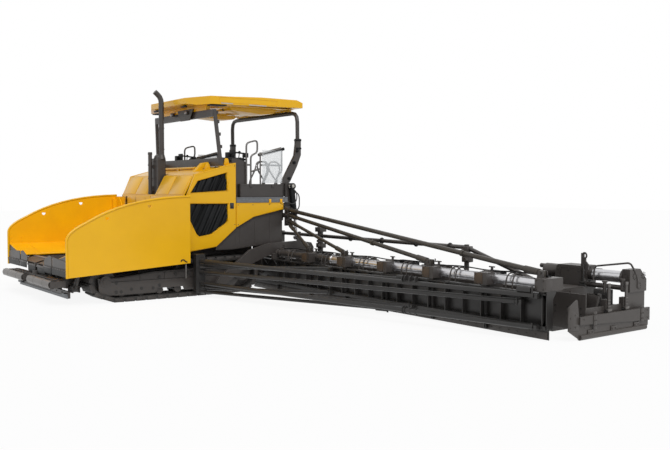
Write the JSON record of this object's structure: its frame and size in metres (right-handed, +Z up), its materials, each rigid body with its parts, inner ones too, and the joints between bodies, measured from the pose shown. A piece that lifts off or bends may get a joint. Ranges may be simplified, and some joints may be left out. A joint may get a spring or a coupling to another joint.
{
  "type": "crawler asphalt paver",
  "caption": "Wide tracked asphalt paver with folding hopper wings, push rollers, canopy, braced auger beams and a towed screed with sliding ends.",
  "frame": {"origin": "on the ground, at the centre of the plan of the whole machine", "axes": "+X to the machine's left along the paving width, +Y to its rear, +Z up"},
  "size_m": [16.642, 5.919, 3.782],
  "materials": {
    "yellow_paint": "semi-gloss warm yellow enamel on sheet steel",
    "hopper_paint": "semi-gloss orange-yellow enamel on wear plate",
    "dark_paint": "satin warm dark grey enamel on welded steel",
    "track_steel": "dull black track shoes with rubber pads",
    "bare_steel": "worn bare steel",
    "black_plastic": "matt black",
    "chrome_rod": "polished hard chrome"
  },
  "bodies": {
    "root": {"main_frame": "dark_paint", "track_left": "track_steel", "track_right": "track_steel", "track_frame_left": "dark_paint", "track_frame_right": "dark_paint", "slat_conveyor_left": "bare_steel", "slat_conveyor_right": "bare_steel", "engine_block": "dark_paint", "engine_hood": "yellow_paint", "side_panel_left": "yellow_paint", "side_panel_right": "yellow_paint", "lower_side_panel_left": "dark_paint", "lower_side_panel_right": "dark_paint", "exhaust_stack": "dark_paint", "platform_deck": "bare_steel", "side_box_left": "dark_paint", "side_box_right": "dark_paint", "control_console_left": "dark_paint", "control_console_right": "dark_paint", "handrail_left": "bare_steel", "handrail_right": "bare_steel", "canopy_front_portal": "dark_paint", "canopy_rear_hoop": "dark_paint", "canopy_roof": "yellow_paint", "auger_carrier_left": "dark_paint", "auger_carrier_right": "dark_paint", "front_limit_board_left": "dark_paint", "front_limit_board_right": "dark_paint", "board_brace_left": "dark_paint", "board_brace_right": "dark_paint", "upper_stay_left": "dark_paint", "upper_stay_right": "dark_paint"},
    "push_beam": {"push_beam": "dark_paint"},
    "screed": {"tow_arm_left": "dark_paint", "tow_arm_right": "dark_paint", "screed_centre": "dark_paint", "screed_extension_left": "dark_paint", "screed_extension_right": "dark_paint"},
    "wing_left": {"hopper_wing_left": "hopper_paint"},
    "wing_barrel_left": {"wing_cylinder_barrel_left": "dark_paint"},
    "wing_rod_left": {"wing_cylinder_rod_left": "chrome_rod"},
    "push_roller_left": {"push_roller_left": "bare_steel"},
    "side_door_left": {"side_door_left": "yellow_paint", "door_grille_left": "black_plastic"},
    "auger_left": {"auger_left": "bare_steel"},
    "screed_end_left": {"screed_end_unit_left": "dark_paint"},
    "end_gate_left": {"end_gate_left": "dark_paint"},
    "lift_barrel_left": {"lift_cylinder_barrel_left": "black_plastic"},
    "lift_rod_left": {"lift_cylinder_rod_left": "chrome_rod"},
    "wing_right": {"hopper_wing_right": "hopper_paint"},
    "wing_barrel_right": {"wing_cylinder_barrel_right": "dark_paint"},
    "wing_rod_right": {"wing_cylinder_rod_right": "chrome_rod"},
    "push_roller_right": {"push_roller_right": "bare_steel"},
    "side_door_right": {"side_door_right": "yellow_paint", "door_grille_right": "black_plastic"},
    "auger_right": {"auger_right": "bare_steel"},
    "screed_end_right": {"screed_end_unit_right": "dark_paint"},
    "end_gate_right": {"end_gate_right": "dark_paint"},
    "lift_barrel_right": {"lift_cylinder_barrel_right": "black_plastic"},
    "lift_rod_right": {"lift_cylinder_rod_right": "chrome_rod"}
  },
  "joints": [
    {"name": "push_beam_swivel", "type": "hinge", "parent": "root", "child": "push_beam", "pos_m": [0, -2.6815, 0.4], "axis": [0, 0, 1], "range_deg": [-3, 3]},
    {"name": "screed_lift", "type": "hinge", "parent": "root", "child": "screed", "pos_m": [0, 0.0335, 0.205], "axis": [1, 0, 0], "range_deg": [0, 8.5]},
    {"name": "wing_fold_left", "type": "hinge", "parent": "root", "child": "wing_left", "pos_m": [0.925, -1.5815, 0.692], "axis": [0, -1, 0], "range_deg": [0, 40]},
    {"name": "wing_barrel_tilt_left", "type": "hinge", "parent": "root", "child": "wing_barrel_left", "pos_m": [1.12, -2.4415, 0.23], "axis": [0, -1, 0], "range_deg": [0, 18.8]},
    {"name": "wing_rod_slide_left", "type": "slide", "parent": "wing_barrel_left", "child": "wing_rod_left", "axis": [0.564, 0, 0.8258], "range_m": [0, 0.2588]},
    {"name": "push_roller_spin_left", "type": "hinge", "parent": "push_beam", "child": "push_roller_left", "pos_m": [0.749, -2.8915, 0.353], "axis": [1, 0, 0], "continuous": true},
    {"name": "side_door_hinge_left", "type": "hinge", "parent": "root", "child": "side_door_left", "pos_m": [1.45, -0.5415, 1.5], "axis": [0, 0, -1], "range_deg": [0, 90]},
    {"name": "auger_spin_left", "type": "hinge", "parent": "root", "child": "auger_left", "pos_m": [4, 1.3885, 0.335], "axis": [1, 0, 0], "continuous": true},
    {"name": "screed_end_slide_left", "type": "slide", "parent": "screed", "child": "screed_end_left", "axis": [1, 0, 0], "range_m": [-0.45, 0]},
    {"name": "end_gate_slide_left", "type": "slide", "parent": "screed_end_left", "child": "end_gate_left", "axis": [0, 0, 1], "range_m": [0, 0.1]},
    {"name": "lift_barrel_tilt_left", "type": "hinge", "parent": "root", "child": "lift_barrel_left", "pos_m": [1.42, 1.7135, 1.96], "axis": [-1, 0, 0], "range_deg": [0, 7.92]},
    {"name": "lift_rod_slide_left", "type": "slide", "parent": "lift_barrel_left", "child": "lift_rod_left", "axis": [0, -0.1093, 0.994], "range_m": [0, 0.2622]},
    {"name": "wing_fold_right", "type": "hinge", "parent": "root", "child": "wing_right", "pos_m": [-0.925, -1.5815, 0.692], "axis": [0, 1, 0], "range_deg": [0, 40]},
    {"name": "wing_barrel_tilt_right", "type": "hinge", "parent": "root", "child": "wing_barrel_right", "pos_m": [-1.12, -2.4415, 0.23], "axis": [0, 1, 0], "range_deg": [0, 18.8]},
    {"name": "wing_rod_slide_right", "type": "slide", "parent": "wing_barrel_right", "child": "wing_rod_right", "axis": [-0.564, 0, 0.8258], "range_m": [0, 0.2588]},
    {"name": "push_roller_spin_right", "type": "hinge", "parent": "push_beam", "child": "push_roller_right", "pos_m": [-0.749, -2.8915, 0.353], "axis": [1, 0, 0], "continuous": true},
    {"name": "side_door_hinge_right", "type": "hinge", "parent": "root", "child": "side_door_right", "pos_m": [-1.45, -0.5415, 1.5], "axis": [0, 0, 1], "range_deg": [0, 90]},
    {"name": "auger_spin_right", "type": "hinge", "parent": "root", "child": "auger_right", "pos_m": [-4, 1.3885, 0.335], "axis": [1, 0, 0], "continuous": true},
    {"name": "screed_end_slide_right", "type": "slide", "parent": "screed", "child": "screed_end_right", "axis": [-1, 0, 0], "range_m": [-0.45, 0]},
    {"name": "end_gate_slide_right", "type": "slide", "parent": "screed_end_right", "child": "end_gate_right", "axis": [0, 0, 1], "range_m": [0, 0.1]},
    {"name": "lift_barrel_tilt_right", "type": "hinge", "parent": "root", "child": "lift_barrel_right", "pos_m": [-1.42, 1.7135, 1.96], "axis": [-1, 0, 0], "range_deg": [0, 7.92]},
    {"name": "lift_rod_slide_right", "type": "slide", "parent": "lift_barrel_right", "child": "lift_rod_right", "axis": [0, -0.1093, 0.994], "range_m": [0, 0.2622]}
  ],
  "couplings": [
    {"joint": "wing_barrel_tilt_left", "follows": "wing_fold_left", "ratio": 0.46976},
    {"joint": "wing_rod_slide_left", "follows": "wing_fold_left", "m_per_rad": 0.37042},
    {"joint": "lift_barrel_tilt_left", "follows": "screed_lift", "ratio": 0.93112},
    {"joint": "lift_rod_slide_left", "follows": "screed_lift", "m_per_rad": 1.7662},
    {"joint": "wing_barrel_tilt_right", "follows": "wing_fold_right", "ratio": 0.46976},
    {"joint": "wing_rod_slide_right", "follows": "wing_fold_right", "m_per_rad": 0.37042},
    {"joint": "lift_barrel_tilt_right", "follows": "screed_lift", "ratio": 0.93112},
    {"joint": "lift_rod_slide_right", "follows": "screed_lift", "m_per_rad": 1.7662}
  ]
}
